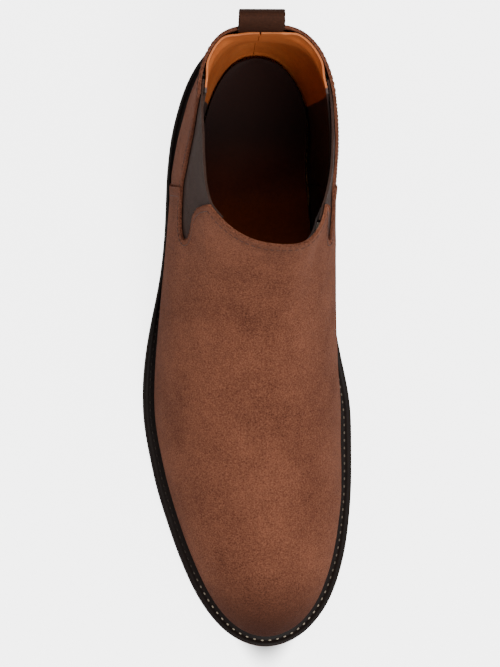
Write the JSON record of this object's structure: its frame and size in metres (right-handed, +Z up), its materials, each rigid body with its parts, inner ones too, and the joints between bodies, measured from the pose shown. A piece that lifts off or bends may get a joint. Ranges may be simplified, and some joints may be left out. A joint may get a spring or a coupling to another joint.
{
  "type": "chelsea boot",
  "caption": "Right-foot suede chelsea boot: vamp and quarters over elastic side gores, welted sole, stacked heel and folding pull tab.",
  "frame": {"origin": "centre of the boot's bounding box in plan, on the floor the sole stands on", "axes": "+Y from toe to heel, +Z up, +X towards the inner (medial) side of the right foot"},
  "size_m": [0.1026, 0.2996, 0.1789],
  "materials": {
    "suede": "brown split suede with a fine nap",
    "elastic": "ribbed woven elastic, dark grey-brown",
    "webbing": "dark brown grosgrain webbing",
    "lining": "tan vegetable-tanned lining, semi-matt",
    "sock": "very dark brown smooth leather",
    "board": "pressed fibre",
    "foam": "soft foam",
    "stiffener": "resin-stiffened cloth",
    "interlining": "plain cotton twill",
    "cork": "cork paste",
    "steel": "bright drawn steel",
    "welt": "near-black brown, lightly waxed",
    "rubber": "dark brown, matt",
    "stack": "dark edge-dressed stacked leather",
    "thread": "waxed linen"
  },
  "bodies": {
    "boot": {"vamp": "suede", "quarter_outer": "suede", "quarter_inner": "suede", "gore_outer": "elastic", "gore_inner": "elastic", "heel_counter": "stiffener", "toe_puff": "stiffener", "interlining_vamp": "interlining", "interlining_quarter": "interlining", "pull_tab_tails": "webbing", "lining_vamp": "lining", "lining_quarter_outer": "lining", "lining_quarter_inner": "lining", "insole_board": "board", "heel_pad": "foam", "sock_lining": "sock", "cork_filler": "cork", "shank": "steel", "welt": "welt", "welt_seam": "thread", "outsole": "rubber", "heel_lift_upper": "stack", "heel_lift_lower": "stack", "heel_top_piece": "rubber", "heel_nail_1": "steel", "heel_nail_2": "steel", "heel_nail_3": "steel", "heel_nail_4": "steel", "heel_nail_5": "steel"},
    "pull_tab_loop": {"pull_tab": "webbing"}
  },
  "joints": [
    {"name": "pull_tab_fold", "type": "hinge", "parent": "boot", "child": "pull_tab_loop", "pos_m": [0.00168, 0.1379, 0.1529], "axis": [1, 0, 0], "range_deg": [-50, 80], "stiffness_Nm_per_rad": 0.004}
  ]
}
